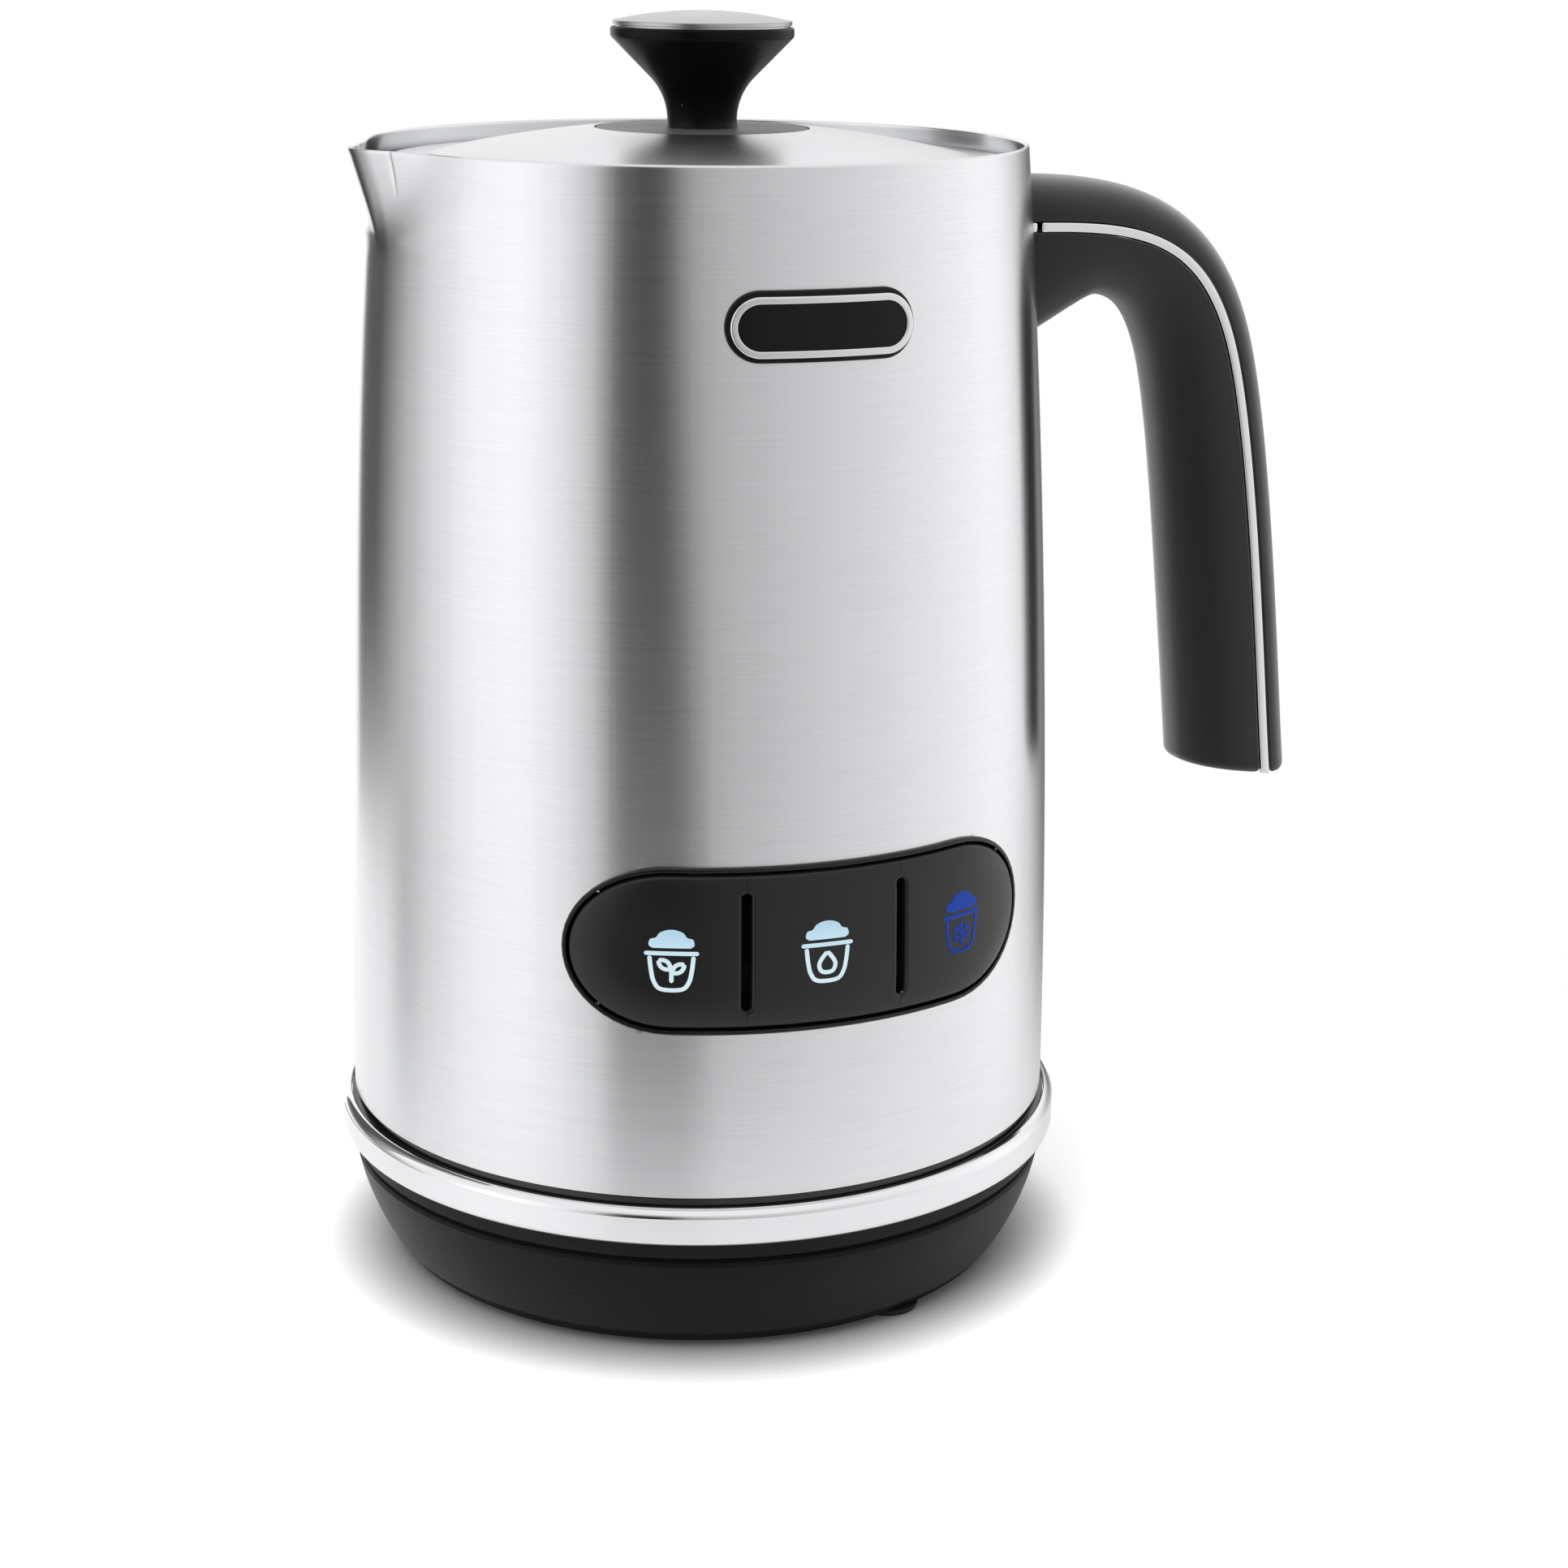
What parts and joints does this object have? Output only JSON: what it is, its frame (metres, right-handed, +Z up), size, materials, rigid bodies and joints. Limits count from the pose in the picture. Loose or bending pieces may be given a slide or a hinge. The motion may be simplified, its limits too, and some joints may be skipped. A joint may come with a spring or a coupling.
{
  "type": "milk frother",
  "caption": "Electric milk frother: steel jug with a pinched spout, open-ended handle, domed lid with a knob and a curved key panel, lifting off a round mains base.",
  "frame": {"origin": "centre of the round base, on the table under the feet", "axes": "+Z up; the key panel and the badge face -Y; the spout points to -X and the handle to +X"},
  "size_m": [0.171, 0.1224, 0.206],
  "materials": {
    "steel": "brushed round",
    "polished_steel": "polished",
    "bright_trim": "polished",
    "vessel_coat": "satin non-stick coating",
    "shell_black": "fine grain",
    "handle_black": "satin",
    "knob_black": "satin",
    "panel_black": "satin gloss",
    "key_black": "satin gloss",
    "badge_black": "satin gloss",
    "disc_dark": "speckled gloss",
    "inner_plastic": "moulded",
    "rubber_black": "matt",
    "seal_silicone": "matt translucent",
    "screw_steel": "zinc plated",
    "bracket_steel": "pressed",
    "motor_can": "zinc plated",
    "shaft_steel": "ground",
    "magnet": "sintered",
    "heater_alloy": "cast",
    "board_green": "solder mask",
    "sensor_white": "glazed",
    "contact_brass": "plated"
  },
  "bodies": {
    "base": {"base_shell": "shell_black", "base_plate": "shell_black", "base_feet": "rubber_black", "base_screws": "screw_steel", "base_column": "inner_plastic", "contact_pin": "contact_brass", "contact_ring": "contact_brass", "cord_gland": "rubber_black"},
    "jug": {"jug_shell": "steel", "milk_vessel": "vessel_coat", "ring_trim": "bright_trim", "jug_collar": "shell_black", "jug_connector": "inner_plastic", "jug_contacts": "contact_brass", "jug_screws": "screw_steel", "handle_outer": "handle_black", "handle_inner": "handle_black", "handle_band": "bright_trim", "handle_bracket": "bracket_steel", "handle_screw": "screw_steel", "badge_plate": "badge_black", "badge_frame": "bright_trim", "panel_bezel": "panel_black", "panel_carrier": "inner_plastic", "control_board": "board_green", "key_switches": "inner_plastic", "board_screws": "screw_steel", "heater": "heater_alloy", "temperature_sensor": "sensor_white", "motor": "motor_can", "motor_bracket": "bracket_steel", "motor_screws": "screw_steel", "whisk_pin": "shaft_steel"},
    "lid": {"lid_cover": "polished_steel", "lid_liner": "inner_plastic", "lid_seal": "seal_silicone", "lid_disc": "disc_dark", "knob": "knob_black", "knob_cap": "steel", "knob_screw": "screw_steel"},
    "rotor": {"motor_rotor": "inner_plastic", "motor_shaft": "shaft_steel"},
    "whisk": {"whisk_hub": "inner_plastic", "whisk_coil": "shaft_steel", "whisk_magnet": "magnet"},
    "left_key": {"key_left": "key_black"},
    "middle_key": {"key_middle": "key_black"},
    "right_key": {"key_right": "key_black"}
  },
  "joints": [
    {"name": "jug_lift", "type": "slide", "parent": "base", "child": "jug", "axis": [0, 0, 1], "range_m": [0, 0.04]},
    {"name": "lid_lift", "type": "slide", "parent": "jug", "child": "lid", "axis": [0, 0, 1], "range_m": [0, 0.04]},
    {"name": "left_key_press", "type": "slide", "parent": "jug", "child": "left_key", "axis": [0, 1, 0], "range_m": [0, 0.0006], "stiffness_N_per_m": 1500, "springref_m": -0.0004},
    {"name": "middle_key_press", "type": "slide", "parent": "jug", "child": "middle_key", "axis": [0, 1, 0], "range_m": [0, 0.0006], "stiffness_N_per_m": 1500, "springref_m": -0.0004},
    {"name": "right_key_press", "type": "slide", "parent": "jug", "child": "right_key", "axis": [0, 1, 0], "range_m": [0, 0.0006], "stiffness_N_per_m": 1500, "springref_m": -0.0004},
    {"name": "motor_spin", "type": "hinge", "parent": "jug", "child": "rotor", "pos_m": [0, 0, 0.058], "axis": [0, 0, 1], "continuous": true},
    {"name": "whisk_spin", "type": "hinge", "parent": "jug", "child": "whisk", "pos_m": [0, 0, 0.0675], "axis": [0, 0, 1], "continuous": true}
  ],
  "couplings": [
    {"joint": "whisk_spin", "follows": "motor_spin", "ratio": 1}
  ]
}
